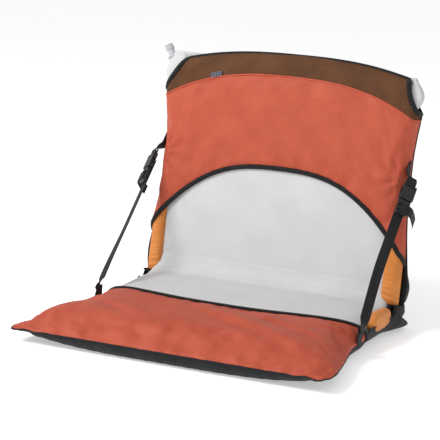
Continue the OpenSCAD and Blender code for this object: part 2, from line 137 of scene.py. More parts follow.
def bent(value, power):
    """Raises a value's size to a power and keeps its sign."""
    return np.sign(value) * np.abs(value) ** power


def fall(x, half, power):
    """Share by which a curved edge has fallen at x."""
    return np.minimum(1, np.abs(x) / half) ** power


def pocket_edge(x):
    return 225 + 57 * fall(x, SIDE_HALF, 2.4)


def arch_edge(x):
    return 227 - 126 * fall(x, 256, 2.75)


def mesh_seam(x):
    return 407 - 57 * fall(x, 255, 2.6)


def hem_edge(x):
    return BACK_TOP - 24 * fall(x, HEM_HALF, 2.6)


def seat_half(y):
    return soft(y, [(-9, 292), (0, 300), (14, 306), (45, 304), (80, 296), (130, 283),
                    (175, 270), (205, 262.5), (225, SIDE_HALF), (390, SIDE_HALF), (432, 272),
                    (470, 272), (SEAT_REAR, 264)])


def seat_shift(y):
    """How far the seat's front end is pulled to the left."""
    return -8 * np.clip(1 - y / 190, 0, 1)


def back_half(height):
    return soft(height, [(0, BACK_HALF), (100, BACK_HALF), (150, 257), (190, 254), (285, 254),
                         (322, 257), (SHOULDER, BACK_HALF), (460, BACK_HALF)], 14)


def crown(share, sharp, power):
    """Height of a rounded section, from 1 at the middle to 0 at share 1."""
    return np.clip(1 - np.abs(share) ** sharp, 0, 1) ** power


def shares(count=COLUMNS):
    """Places across a panel from -1 to 1, closer together towards its sides."""
    return np.sin(np.linspace(-1, 1, count) * math.pi / 2)


def front_depth(x, height):
    """Depth of the back's front face."""
    side = SIDE_SEAM * (1 - crown(x / back_half(height), 40, 0.42))
    over = np.clip((height + BACK_TOP - hem_edge(x) - 424) / 26, 0, 1)
    return side + 15 * (1 - np.sqrt(1 - over ** 2))


def ripple(points, size, seed):
    """Smooth noise from -1 to 1 at points, with folds of a size in mm."""
    flat = points.reshape(-1, 3) / (size * MM)
    values = [noise.noise(Vector(p) + Vector((seed, 2 * seed, 3 * seed))) for p in flat]
    return np.array(values).reshape(points.shape[:-1])


def unit(v):
    return v / np.maximum(np.linalg.norm(v, axis=-1, keepdims=True), 1e-12)


def grid_normals(points, inside):
    """Unit normals of a grid, turned away from the point inside."""
    normal = unit(np.cross(np.gradient(points, axis=1), np.gradient(points, axis=0)))
    outward = np.sum(normal * (points - np.array(inside)))
    return normal if outward > 0 else -normal


def raised(points, normal, amount):
    """A grid moved along its normals, by an amount in mm."""
    return points + normal * (amount * MM)[..., None]


def crease(x, y, start, end, width, depth):
    """A soft fold along a line: a ridge with a hollow beside it, fading at its ends."""
    run = np.array(end, float) - start
    length = np.hypot(*run)
    along = ((x - start[0]) * run[0] + (y - start[1]) * run[1]) / length ** 2
    off = ((x - start[0]) * run[1] - (y - start[1]) * run[0]) / length
    fade = np.clip(4 * along * (1 - along), 0, 1)
    return depth * fade * (bell(off, 0, width) - bell(off, 1.6 * width, width))


def pulls(x, y, at, reach, count, depth):
    """Folds that fan out from a point where the cloth is held."""
    away = np.hypot(x - at[0], y - at[1])
    angle = np.arctan2(y - at[1], x - at[0])
    return depth * np.cos(count * angle) * np.clip(away / 25, 0, 1) * bell(away, 0, reach)


def gathers(x, away, depth, reach, pitch, drift=0.0, spacing=1.0):
    """Small folds square to a seam, which fade with the distance away from it."""
    return depth * np.sin(x / pitch + drift * np.sin(x / spacing)) * np.exp(-away / reach)


def smoothed(rows):
    """Rows of vectors, each averaged with its neighbours."""
    reach = 4
    padded = np.pad(rows, ((reach, reach), (0, 0)), "edge")
    return sum(padded[k:k + len(rows)] for k in range(2 * reach + 1)) / (2 * reach + 1)


def rounded(path):
    """A path with each corner cut three times over."""
    for _ in range(3):
        near = 0.75 * path[:-1] + 0.25 * path[1:]
        far = 0.25 * path[:-1] + 0.75 * path[1:]
        middle = np.stack([near, far], 1).reshape(-1, path.shape[1])
        path = np.concatenate([path[:1], middle, path[-1:]])
    return path


def gaps(points, axis):
    """Distances between neighbours along one direction of a grid or a path."""
    return np.linalg.norm(np.diff(points, axis=axis), axis=-1)


def distances(path):
    """Distance of each point of a path from its start."""
    return np.concatenate([[0], np.cumsum(gaps(path, 0))])


def sample(path, at, steps):
    """A path's values at some of the distances in steps."""
    return np.stack([np.interp(at, steps, values) for values in path.T], -1)


SEAT_INSIDE = seat_frame(0, 240, 30)
BACK_INSIDE = back_frame(0, 20, 230)


# ---- materials

class Recipe:
    """A material's nodes, with its texture coordinates in metres."""

    def __init__(self, name, roughness, **settings):
        self.material = bpy.data.materials.new(name)
        self.material.use_nodes = True
        self.tree = self.material.node_tree
        self.shader = self.tree.nodes["Principled BSDF"]
        self.shader.inputs["Roughness"].default_value = roughness
        for socket, value in settings.items():
            self.shader.inputs[socket.replace("_", " ")].default_value = value
        place = self.tree.nodes.new("ShaderNodeTexCoord")
        self.uv = place.outputs["UV"]
        self.place = place.outputs["Object"]

    def add(self, kind, inputs=None, **settings):
        node = self.tree.nodes.new("ShaderNode" + kind)
        for key, value in settings.items():
            setattr(node, key, value)
        for key, value in (inputs or {}).items():
            if isinstance(value, bpy.types.NodeSocket):
                self.tree.links.new(value, node.inputs[key])
            else:
                node.inputs[key].default_value = value
        return node

    def math(self, operation, a, b=0.0):
        return self.add("Math", {0: a, 1: b}, operation=operation).outputs[0]

    def wave(self, pitch, vector, axis="X", distortion=0.0):
        """Bands a pitch apart in metres, as a value from 0 to 1."""
        scale = math.pi / 10 / pitch
        node = self.add("TexWave", {"Vector": vector, "Scale": scale, "Distortion": distortion},
                        wave_type="BANDS", bands_direction=axis)
        return node.outputs["Fac"]

    def noise(self, size, vector, detail=3.0):
        """Cloudy noise with patches of the given size in metres."""
        node = self.add("TexNoise", {"Vector": vector, "Scale": 1 / size, "Detail": detail})
        return node.outputs["Fac"]

    def turned(self, vector, angle):
        return self.add("Mapping", {"Vector": vector, "Rotation": (0, 0, angle)}).outputs[0]

    def colour(self, value, low, high, from_min=0.3, from_max=0.7):
        """Sets the base colour to run from low to high with value."""
        ramp = self.add("ValToRGB", {"Fac": value})
        ramp.color_ramp.elements[0].position = from_min
        ramp.color_ramp.elements[1].position = from_max
        ramp.color_ramp.elements[0].color = (*low, 1)
        ramp.color_ramp.elements[1].color = (*high, 1)
        self.tree.links.new(ramp.outputs[0], self.shader.inputs["Base Color"])

    def bump(self, *layers):
        """Adds bump layers, each a value and its depth in metres."""
        normal = None
        for value, depth in layers:
            inputs = {"Height": value, "Strength": 1.0, "Distance": depth}
            if normal is not None:
                inputs["Normal"] = normal
            normal = self.add("Bump", inputs).outputs[0]
        self.tree.links.new(normal, self.shader.inputs["Normal"])
        return self.material


def woven(name, dark, light, roughness, pitch, weave_depth, crinkle, sheen):
    """A plain woven cloth: crossing threads, slow colour changes and soft crinkles."""
    recipe = Recipe(name, roughness, Sheen_Weight=sheen, Sheen_Roughness=0.4,
                    Specular_IOR_Level=0.2)
    uv = recipe.uv
    threads = recipe.math("MULTIPLY", recipe.wave(pitch, uv), recipe.wave(pitch, uv, "Y"))
    clouds = recipe.noise(0.05, uv, 5)
    recipe.colour(recipe.math("ADD", clouds, recipe.math("MULTIPLY", threads, 0.12)), dark, light)
    return recipe.bump((recipe.noise(0.02, uv, 4), crinkle),
                       (recipe.noise(0.005, uv, 2), crinkle / 8), (threads, weave_depth))


def net(name):
    """Open black mesh over the orange lining, its holes in slanting rows."""
    recipe = Recipe(name, 0.75, Specular_IOR_Level=0.15)
    uv = recipe.uv
    slant = recipe.turned(uv, math.radians(42))
    lines = recipe.wave(0.0031, slant, "X", 0.6)
    cross = recipe.wave(0.0026, slant, "Y", 0.6)
    holes = recipe.math("MULTIPLY", lines, cross)
    clouds = recipe.math("MULTIPLY", recipe.noise(0.06, uv, 4), 0.34)
    seen = recipe.math("ADD", recipe.math("MULTIPLY", holes, 0.75), clouds)
    recipe.colour(seen, (0.018, 0.009, 0.005), (0.31, 0.132, 0.056), 0.10, 0.85)
    return recipe.bump((recipe.noise(0.018, uv, 3), 0.0015), (holes, 0.0006))


def coated(name):
    """The pad's coated knit: pale, nearly smooth, with fine creases."""
    recipe = Recipe(name, 0.66, Specular_IOR_Level=0.35)
    uv = recipe.uv
    stretched = recipe.add("Mapping", {"Vector": uv, "Scale": (0.35, 1, 1)}).outputs[0]
    creases = recipe.noise(0.006, stretched, 3)
    threads = recipe.math("MULTIPLY", recipe.wave(0.0009, uv), recipe.wave(0.0009, uv, "Y"))
    recipe.colour(recipe.noise(0.07, uv, 4), (0.555, 0.56, 0.565), (0.60, 0.605, 0.61))
    return recipe.bump((recipe.noise(0.03, uv, 3), 0.0012), (creases, 0.0004), (threads, 0.00006))


def tape_cloth(name, pitch=0.0013):
    """Ribbed black tape or webbing, with ribs across its length."""
    recipe = Recipe(name, 0.6, Sheen_Weight=0.02, Specular_IOR_Level=0.25)
    uv = recipe.uv
    ribs = recipe.wave(pitch, uv, "Y", 0.4)
    rows = recipe.wave(0.0034, uv, "X")
    recipe.colour(recipe.math("ADD", recipe.noise(0.012, uv), recipe.math("MULTIPLY", ribs, 0.1)),
                  (0.005, 0.0053, 0.006), (0.014, 0.0145, 0.016))
    return recipe.bump((rows, 0.0002), (ribs, 0.00035))


def moulded(name, dark, light, roughness):
    """Moulded plastic with a fine spark grain."""
    recipe = Recipe(name, roughness)
    recipe.colour(recipe.noise(0.012, recipe.place), dark, light)
    return recipe.bump((recipe.noise(0.0011, recipe.place, 2), 0.00008))


def foam_cells(name):
    recipe = Recipe(name, 0.9)
    cells = recipe.add("TexVoronoi", {"Vector": recipe.place, "Scale": 700}).outputs["Distance"]
    recipe.colour(recipe.noise(0.04, recipe.place), (0.80, 0.70, 0.40), (0.88, 0.79, 0.50))
    return recipe.bump((cells, 0.0006))


def stay_laminate(name):
    recipe = Recipe(name, 0.42)
    fibres = recipe.wave(0.0009, recipe.place, "Z", 3.0)
    recipe.colour(fibres, (0.22, 0.24, 0.26), (0.30, 0.32, 0.34))
    return recipe.bump((fibres, 0.00008))


def woven_label(name):
    """A small woven tab: rows of plain stripes in two greys."""
    recipe = Recipe(name, 0.6)
    uv = recipe.uv
    columns = recipe.wave(0.0055, uv, "X", 2.0)
    rows = recipe.wave(0.0036, uv, "Y", 1.0)
    recipe.colour(recipe.math("MULTIPLY", columns, rows), (0.05, 0.05, 0.07), (0.16, 0.15, 0.19), 0.25, 0.7)
    return recipe.bump((recipe.wave(0.0008, uv, "Y"), 0.0001))


RED = woven("red_nylon", (0.42, 0.072, 0.037), (0.495, 0.094, 0.050), roughness=0.5,
            pitch=0.0007, weave_depth=0.00008, crinkle=0.0022, sheen=0.0)
BLACK = woven("black_packcloth", (0.006, 0.0065, 0.0075), (0.014, 0.015, 0.017), roughness=0.62,
              pitch=0.0010, weave_depth=0.00015, crinkle=0.0025, sheen=0.02)
ORANGE = woven("orange_lining", (0.56, 0.185, 0.038), (0.70, 0.26, 0.062), roughness=0.50,
               pitch=0.0007, weave_depth=0.00008, crinkle=0.0022, sheen=0.04)
NET = net("black_mesh")
PAD = coated("coated_knit")
BINDING = tape_cloth("binding_tape")
WEBBING = tape_cloth("webbing", 0.0017)
BUCKLE = moulded("buckle_acetal", (0.008, 0.008, 0.009), (0.016, 0.016, 0.018), 0.36)
VALVE = moulded("valve_plastic", (0.42, 0.43, 0.45), (0.50, 0.51, 0.53), 0.40)
FOAM = foam_cells("open_cell_foam")
STAY = stay_laminate("stay_laminate")
LABEL = woven_label("woven_label")
THREAD_RED = moulded("red_thread", (0.50, 0.10, 0.06), (0.62, 0.16, 0.10), 0.55)
THREAD_BLACK = moulded("black_thread", (0.03, 0.03, 0.032), (0.055, 0.055, 0.06), 0.5)


# ---- building pieces

def placed(name, data):
    """A new object in the scene."""
    made = bpy.data.objects.new(name, data)
    bpy.context.scene.collection.objects.link(made)
    return made


def spread(points):
    """Distances along each row of a grid from its middle, and along each column from its start."""
    u = np.concatenate([np.zeros((len(points), 1)), np.cumsum(gaps(points, 1), 1)], 1)
    v = np.concatenate([np.zeros((1, points.shape[1])), np.cumsum(gaps(points, 0), 0)], 0)
    return u - u[:, points.shape[1] // 2][:, None], v


def mesh_piece(name, verts, faces, uvs, material):
    """A smooth mesh with one UV for each corner of each face."""
    mesh = bpy.data.meshes.new(name)
    mesh.from_pydata([tuple(p) for p in verts], [], faces)
    layer = mesh.uv_layers.new(name="UVMap")
    layer.data.foreach_set("uv", np.asarray(uvs, np.float32).ravel())
    mesh.shade_smooth()
    mesh.materials.append(material)
    mesh.update()
    return placed(name, mesh)


def grid_piece(name, points, inside, material, thickness):
    """An open cloth panel from a grid of points, thickened inwards from its outer face."""
    rows, columns = points.shape[:2]
    u, v = spread(points)
    normal = np.cross(np.gradient(points, axis=1), np.gradient(points, axis=0))
    flip = np.sum(normal * (points - np.array(inside))) > 0
    faces, uvs = [], []
    for r in range(rows - 1):
        for c in range(columns - 1):
            corners = [(r, c), (r + 1, c), (r + 1, c + 1), (r, c + 1)]
            if not flip:
                corners.reverse()
            faces.append([i * columns + j for i, j in corners])
            uvs += [(u[i, j], v[i, j]) for i, j in corners]
    piece = mesh_piece(name, points.reshape(-1, 3), faces, uvs, material)
    solidify = piece.modifiers.new("cloth", "SOLIDIFY")
    solidify.thickness = thickness * MM
    solidify.offset = -1
    return piece


def tube_piece(name, rings, material):
    """A closed tube through rings of points, with a fan at each end."""
    count, sides = rings.shape[:2]
    looped = np.concatenate([rings, rings[:, :1]], 1)
    u, v = spread(looped)
    faces, uvs = [], []
    for r in range(count - 1):
        for c in range(sides):
            corners = [(r, c), (r, c + 1), (r + 1, c + 1), (r + 1, c)]
            faces.append([i * sides + j % sides for i, j in corners])
            uvs += [(u[i, j], v[i, j]) for i, j in corners]
    verts = list(rings.reshape(-1, 3))
    for end in (0, count - 1):
        middle = len(verts)
        verts.append(rings[end].mean(0))
        for c in range(sides):
            pair = (c, c + 1) if end else (c + 1, c)
            faces.append([middle] + [end * sides + k % sides for k in pair])
            uvs += [(0, v[end, 0])] + [(u[end, k], v[end, 0]) for k in pair]
    piece = mesh_piece(name, verts, faces, uvs, material)
    volume = sum(np.dot(verts[f[0]], np.cross(verts[f[i]], verts[f[i + 1]]))
                 for f in faces for i in range(1, len(f) - 1))
    if volume < 0:
        piece.data.flip_normals()
    return piece


def oval(count, power):
    """Points round a rounded square from -1 to 1."""
    turn = np.linspace(0, 2 * math.pi, count, endpoint=False)
    return np.stack([bent(np.cos(turn), 2 / power), bent(np.sin(turn), 2 / power)], -1)


def band(name, path, across, material, width, thickness, sides, power):
    """A flat band with rounded edges along a path; across is its width's direction."""
    along = unit(np.gradient(path, axis=0))
    across = unit(across - along * np.sum(across * along, -1, keepdims=True))
    through = np.cross(along, across)
    shape = oval(sides, power) * MM / 2
    reach = np.broadcast_to(width, len(path))[:, None, None]
    wide = shape[:, :1] * reach * across[:, None]
    deep = shape[:, 1:] * thickness * through[:, None]
    return tube_piece(name, path[:, None] + wide + deep, material)


def edge_tape(name, node, edge, inner, normal, body, width, thickness, lift):
    """Binding folded over a panel's edge; inner is a row of the panel near it."""
    inward = unit(smoothed(inner - edge))
    path = edge + inward * (width / 2 - TAPE_OVERHANG) * MM + unit(smoothed(normal)) * lift * MM
    piece = band(name, path, inward, BINDING, width, thickness, sides=20, power=2.6)
    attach(piece, body)
    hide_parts(node)


def piping(name, path, across, width, thickness, body):
    """The thin cord of cloth that covers a seam."""
    piece = band(name, path, across, BINDING, width, thickness, sides=10, power=2.2)
    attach(piece, body)


def webbing(name, node, path, across, body, thickness):
    """A flat strip of webbing; node is the CAD node that it replaces, if any."""
    piece = band(name, path, across, WEBBING, WEB_WIDTH, thickness, sides=20, power=5)
    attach(piece, body)
    if node:
        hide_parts(node)


def stitches(name, path, normal, material, body, length=3.2, gap=1.6):
    """Thread stitches along a path, as one mesh of small closed beads."""
    half_thread = 0.45 * MM
    steps = distances(path)
    starts = np.arange(0, steps[-1] - length * MM, (length + gap) * MM)
    begin = sample(path, starts, steps)
    end = sample(path, starts + length * MM, steps)
    rise = unit(sample(normal, starts, steps)) * half_thread
    side = unit(np.cross(end - begin, rise)) * half_thread
    middle = (begin + end) / 2
    beads = np.stack([begin, middle + side, middle + rise * 1.6, middle - side, middle - rise, end], 1)
    shape = [(0, 1, 2), (0, 2, 3), (0, 3, 4), (0, 4, 1), (5, 2, 1), (5, 3, 2), (5, 4, 3), (5, 1, 4)]
    faces = [[6 * k + i for i in face] for k in range(len(beads)) for face in shape]
    uvs = np.zeros((3 * len(faces), 2))
    piece = mesh_piece(name, beads.reshape(-1, 3), faces, uvs, material)
    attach(piece, body)


def seam_stitches(name, row, normal, lift, body):
    """Red stitches along a row of a red panel, just over its cloth."""
    stitches(name, row + normal * lift * MM, normal, THREAD_RED, body)


def settle(points, inside, pressure, slack, cap):
    """A panel's points once it took up its slack as cloth, sewn along its edges."""
    rows, columns = points.shape[:2]
    firsts = [r * columns + c for r in range(rows - 1) for c in range(columns - 1)]
    faces = [(k, k + 1, k + columns + 1, k + columns) for k in firsts]
    mesh = bpy.data.meshes.new("settling")
    mesh.from_pydata(points.reshape(-1, 3).tolist(), [], faces)
    piece = placed("settling", mesh)
    normal = np.array([p.normal[:] for p in mesh.polygons])
    centre = np.array([p.center[:] for p in mesh.polygons])
    if np.sum(normal * (centre - np.array(inside))) < 0:
        mesh.flip_normals()
    sewn = [r * columns + c for r in range(rows) for c in range(columns)
            if r in (0, rows - 1) or c in (0, columns - 1)]
    piece.vertex_groups.new(name="sewn").add(sewn, 1.0, "REPLACE")
    cloth = piece.modifiers.new("Cloth", "CLOTH")
    cloth.settings.vertex_group_mass = "sewn"
    cloth.settings.quality = 5
    cloth.settings.mass = 0.12
    cloth.settings.tension_stiffness = cloth.settings.compression_stiffness = 12
    cloth.settings.shear_stiffness = 6
    cloth.settings.bending_stiffness = 0.4
    cloth.settings.shrink_min = -slack
    cloth.settings.use_pressure = True
    cloth.settings.uniform_pressure_force = pressure
    cloth.settings.effector_weights.gravity = 0
    cloth.collision_settings.use_collision = False
    for step in range(1, CLOTH_FRAMES + 1):
        bpy.context.scene.frame_set(step)
    settled = piece.evaluated_get(bpy.context.evaluated_depsgraph_get()).to_mesh()
    moved = np.array([v.co[:] for v in settled.vertices]).reshape(points.shape) - points
    bpy.data.objects.remove(piece)
    bpy.context.scene.frame_set(1)
    size = np.maximum(np.linalg.norm(moved, axis=-1, keepdims=True), 1e-9)
    in_rows = np.minimum(np.arange(rows), np.arange(rows)[::-1])[:, None]
    in_columns = np.minimum(np.arange(columns), np.arange(columns)[::-1])[None]
    free = np.clip(np.minimum(in_rows, in_columns) / SEAM_CELLS, 0, 1)[..., None]
    return points + moved / size * cap * MM * np.tanh(size / (cap * MM)) * free


def sewn_panel(name, node, points, inside, material, body, thickness=0.9):
    """A cloth panel that stands for a CAD node and is sewn to one body."""
    piece = grid_piece(name, points, inside, material, thickness)
    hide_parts(node)
    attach(piece, body)


# ---- the seat

def seat_rise(y):
    """Height of the seat's middle over the seam between pocket and base."""
    nose = (1 - (1 - np.clip(y / 92, 0, 1)) ** 2) ** 0.8
    return nose * soft(y, [(0, 36), (92, 36.5), (225, 37.5), (300, 40), (404, 43)])


def seam_wave(x, y):
    """How far the puckered front seam rises and falls."""
    return gathers(x, y, depth=1.5, reach=22, pitch=9.5, drift=2.2, spacing=43)


def pocket_height(share, y):
    """Height of the pocket's cloth at a share of the seat's half width."""
    taper = np.clip(y / 215, 0, 1)
    return SEAM_Z + seat_rise(y) * crown(share, 6.5 - 2.0 * taper, 0.85 - 0.50 * taper)


# folds drawn across the pocket: start, end, width and depth
POCKET_CREASES = (((-60, 205), (250, 45), 13, 4.4), ((-240, 175), (-80, 80), 12, 3.8),
                  ((70, 195), (262, 120), 9, 3.0), ((-170, 55), (90, 30), 11, 2.8))


def seat_pocket():
    share = shares()[None]
    step = np.linspace(0, 1, 62)[:, None] ** 1.35
    y = step * (pocket_edge(SIDE_HALF * share) - 2)
    x = seat_half(y) * share + seat_shift(y)
    points = seat_frame(x, y, pocket_height(share, y) + seam_wave(x, y))
    points = settle(points, SEAT_INSIDE, pressure=1.2, slack=0.035, cap=5)
    normal = grid_normals(points, SEAT_INSIDE)
    inner = np.sin(np.pi * np.clip(step, 0, 1)) ** 0.4 * crown(share, 10, 0.5)
    folds = 2.8 * ripple(points * (1, 1.6, 1), 95, 3) + 0.9 * ripple(points, 34, 5)
    for line in POCKET_CREASES:
        folds = folds + crease(x, y, *line)
    for side, _ in SIDES:
        folds = folds + pulls(x, y, (side * 262, 236), reach=75, count=12, depth=2.2)
        folds = folds + pulls(x, y, (side * 302, 4), reach=60, count=11, depth=1.5)
    pucker = gathers(x, y, depth=2.8, reach=16, pitch=5.6, drift=2.6, spacing=31)
    pucker = pucker * np.clip(y / 4, 0, 1)
    points = raised(points, normal, folds * inner + pucker)
    sewn_panel("seat_pocket", "seat_pocket_panel", points, SEAT_INSIDE, RED, "seat")
    edge_tape("pocket_binding", "seat_pocket_binding", points[-1], points[-4], normal[-1], "seat",
              width=10, thickness=6.5, lift=1.8)
    seam_stitches("pocket_stitches", points[-4], normal[-4], 0.7, "seat")


def base_rim(y):
    """Height of the base's edge."""
    return soft(y, [(-10, SEAM_Z), (270, SEAM_Z), (296, 39), (400, 40), (412, 44), (SEAT_REAR, 7)], 6)


def seat_base():
    share = shares()[None]
    front = 30 * np.linspace(0, 1, 12) ** 1.6
    rear = [SEAT_REAR - 5, SEAT_REAR - 1.5, SEAT_REAR]
    y = np.concatenate([front, np.linspace(36, 478, 66), rear])[:, None]
    lip = np.clip(1 - y / 30, 0, 1)
    ground = SEAM_Z * (1 - np.sqrt(1 - lip ** 2)) + soft(y, [(470, 0), (SEAT_REAR, 4)], 2)
    sharp = np.interp(y, [0, 60, 200], [3.2, 5, 14])
    power = np.interp(y, [0, 200], [1.0, 0.5])
    x = seat_half(y) * share + seat_shift(y)
    rim = base_rim(y) + seam_wave(x, y)
    z = rim - (rim - ground) * crown(share, sharp, power)
    points = seat_frame(x, y, z)
    normal = grid_normals(points, SEAT_INSIDE)
    wrinkle = 0.9 * ripple(points, 30, 9) * np.clip((z - 3) / 12, 0, 1)
    pucker = gathers(x, y, depth=1.3, reach=12, pitch=4.3) * np.clip(y / 3, 0, 1)
    points = raised(points, normal, wrinkle + pucker)
    points[..., 2] = np.maximum(points[..., 2], 0)
    sewn_panel("seat_base", "seat_base_panel", points, SEAT_INSIDE, BLACK, "seat")
    rim_edge = np.concatenate([points[::-1, 0], points[0, 1:-1], points[:, -1]])
    outward = unit((rim_edge - seat_frame(0, 240, SEAM_Z)) * (1, 1, 0))
    piping("seat_seam_piping", rim_edge, outward, 3.4, 3.0, "seat")


def stuffed_sleeve(name, node, rings, body):
    piece = tube_piece(name, rings, ORANGE)
    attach(piece, body)
    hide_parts(node)


def seat_sleeve(side, word):
    """The orange sleeve that holds the seat's stay, standing out beside the pad."""
    puff = 17.5 if side > 0 else 9.0
    centre, half_length = 362, 47
    y = centre + half_length * shares(70)
    taper = (1 - np.abs(y - centre) ** 4 / (half_length + 0.5) ** 4) ** 0.5
    shape = oval(40, 3.0)
    wrinkle = 1 + 0.025 * np.sin(y / 2.7 + np.sin(y / 11))[:, None]
    x = 253 + 11.5 * shape[:, 0] * (0.45 + 0.55 * taper[:, None]) * wrinkle
    z = 24.5 + puff + puff * shape[:, 1] * taper[:, None] * wrinkle
    rings = seat_frame(side * x, y[:, None], z)
    stuffed_sleeve(f"seat_sleeve_padding_{word}", f"seat_sleeve_{word}", rings, "seat")


# ---- the pad

def pad_paths():
    """The pad's upper and lower faces along its length, as (y, z)."""
    # sections from the front to the top, before the corners are rounded
    upper = [(30, 36), (42, 47), (62, 53), (90, 57), (160, 58.5), (225, 59), (290, 61.5), (360, 64.5),
             (388, 65.6), (397, 66), (404, 67), (411, 71), (417.5, 76.5), (421, 82), leaning(-0.4, 38),
             leaning(0.2, 52), leaning(0.4, 84), leaning(0.6, 120), leaning(0.8, 200),
             leaning(2.4, 260), leaning(2.6, 400), leaning(4.5, 422), leaning(10, 436)]
    lower = [(30, 8), (40, 3.2), (60, 2.6), (90, 2.6), (160, 2.6), (225, 2.6), (290, 2.6), (360, 2.6),
             (384, 2.8), (400, 3.0), (418, 4.0), (436, 6), (464, 15), (484, 33), leaning(75, 26),
             leaning(60, 50), leaning(44, 84), leaning(37, 118), leaning(PAD_REAR, 200),
             leaning(PAD_REAR, 260), leaning(PAD_REAR, 400), leaning(33, 422), leaning(24, 436)]
    upper, lower = rounded(np.array(upper, float)), rounded(np.array(lower, float))
    steps = distances((upper + lower) / 2)
    at = np.linspace(0, steps[-1], 200)
    return sample(upper, at, steps), sample(lower, at, steps)


def pad_height(y, z):
    """Height along the back's lean of points given as (y, z)."""
    return (y - BACK_FOOT[0]) * math.sin(LEAN) + (z - BACK_FOOT[1]) * math.cos(LEAN)


def mattress():
    upper, lower = pad_paths()
    turn = np.linspace(0, 2 * math.pi, 192, endpoint=False)
    share = bent(np.cos(turn), 0.45)
    lift = bent(np.sin(turn), 0.38)
    height = pad_height(upper[:, 0], upper[:, 1])
    half = soft(height, [(-400, 250), (0, 249), (20, 246), (60, 237), (100, 233), (150, 233), (330, 237),
                         (352, 243), (368, 254), (386, 264), (400, 266), (424, 258), (436, 249)], 5)
    nose_half = soft(upper[:, 0], [(24, 222), (50, 250), (90, 250)])
    half = np.where(upper[:, 1] < 60, np.minimum(half, nose_half), half)
    middle = (upper + lower) / 2
    thick = (upper - lower) / 2
    # the ends close to a rounded edge
    run = np.arange(len(upper)) / (len(upper) - 1)
    ends = np.clip(np.minimum(run / 0.012, (1 - run) / 0.014), 0.02, 1)
    ends = np.sqrt(1 - (1 - ends) ** 2)
    y = middle[:, :1] + thick[:, :1] * lift * ends[:, None]
    z = middle[:, 1:] + thick[:, 1:] * lift * ends[:, None]
    x = half[:, None] * share
    # under the pocket the pad stays below the red cloth
    spare = 1.5 + 5.5 * np.clip((pocket_edge(x) - y) / 14, 0, 1)
    cover = pocket_height((x - seat_shift(y)) / seat_half(y), y) - spare
    z = np.where(y < pocket_edge(x), np.minimum(z, np.maximum(cover, 3)), z)
    # the left corner stands up past the hem, the right one sinks
    rise = np.clip((height - 372) / 60, 0, 1)[:, None] ** 1.3
    tall = np.where(x < 0, 3.0, -13.0)
    corner = bell(np.abs(x), 257, 13) * tall
    under_hem = hem_edge(x - HEM_SHIFT) - 3.5 - 438
    outside = np.clip((np.abs(x - HEM_SHIFT) - HEM_HALF - 1) / 9, 0, 1)
    up = (corner + under_hem * (1 - outside)) * rise
    y = y + up * math.sin(LEAN)
    z = z + up * math.cos(LEAN)
    points = seat_frame(x, y, z)
    outward = unit(points - seat_frame(0, middle[:, :1], middle[:, 1:]) * (0, 1, 1) - points * (1, 0, 0))
    # on the upper face the coating is crumpled round the bend, with two deeper grooves
    height = height[:, None]
    on_top = np.clip(lift, 0, 1)
    crumpled = bell(height, 26, 24) * on_top
    groove = -1.3 * (bell(height, 30, 2.2) + bell(height, 9, 2.2)) * on_top
    fine = groove + 0.55 * crumpled * np.sin(height / 1.9 + 2.7 * ripple(points, 40, 4))
    slow = 0.9 * ripple(points, 90, 12) + 0.3 * ripple(points, 28, 15)
    points = raised(points, outward * (0, 1, 1), fine + slow)
    points[..., 2] = np.maximum(points[..., 2], 1.2 * MM)
    piece = tube_piece("mattress_pad", points, PAD)
    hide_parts("mattress_skin_seat", "mattress_skin_back",
                "mattress_foam_seat", "mattress_foam_back")
    seat_frame(0, 408, 38)
    back_frame(0, 30, 40)
    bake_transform(piece)


# ---- the back

# folds drawn across the red panel: start, end, width and depth
PANEL_CREASES = (((214, 130), (238, 255), 12, 3.4), ((-170, 250), (-252, 345), 10, 2.2))


def red_panel():
    share = shares()[None]
    step = np.linspace(0, 1, 74)[:, None]
    reach = BACK_HALF * share
    foot = arch_edge(reach) + 1.5
    # round the side, the arch's edge keeps falling as it goes rearwards
    foot = foot - 0.9 * front_depth(back_half(foot) * share, foot)
    height = foot * (1 - step) + mesh_seam(reach) * step
    x = back_half(height) * share
    points = back_frame(x, front_depth(x, height) - 0.5, height)
    points = settle(points, BACK_INSIDE, pressure=1.0, slack=0.03, cap=5)
    normal = grid_normals(points, BACK_INSIDE)
    inner = np.sin(np.pi * step) ** 0.5 * crown(share, 14, 0.5)
    folds = 2.4 * ripple(points * (1.3, 1, 0.8), 100, 21) + 0.7 * ripple(points, 30, 24)
    for line in PANEL_CREASES:
        folds = folds + crease(x, height, *line)
    for side, _ in SIDES:
        folds = folds + pulls(x, height, (side * 254, 240), reach=62, count=10, depth=2.4)
    pucker = gathers(x, mesh_seam(reach) - height, depth=0.7, reach=9, pitch=3.3, drift=1, spacing=17)
    points = raised(points, normal, folds * inner + pucker * crown(share, 20, 0.5))
    sewn_panel("back_red_panel", "back_pocket_panel", points, BACK_INSIDE, RED, "back")
    edge_tape("arch_tape", "arch_binding", points[0], points[3], normal[0], "back",
              width=9, thickness=5.2, lift=1.2)
    inward = smoothed(points[-4] - points[-1])
    welt = band("mesh_seam_welt", points[-1] + normal[-1] * 1.2 * MM, inward, RED,
                width=3.4, thickness=2.4, sides=12, power=2.4)
    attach(welt, "back")
    seam_stitches("arch_stitches", points[5], normal[5], 0.6, "back")
    seam_stitches("mesh_seam_stitches", points[-2], normal[-2], 0.6, "back")


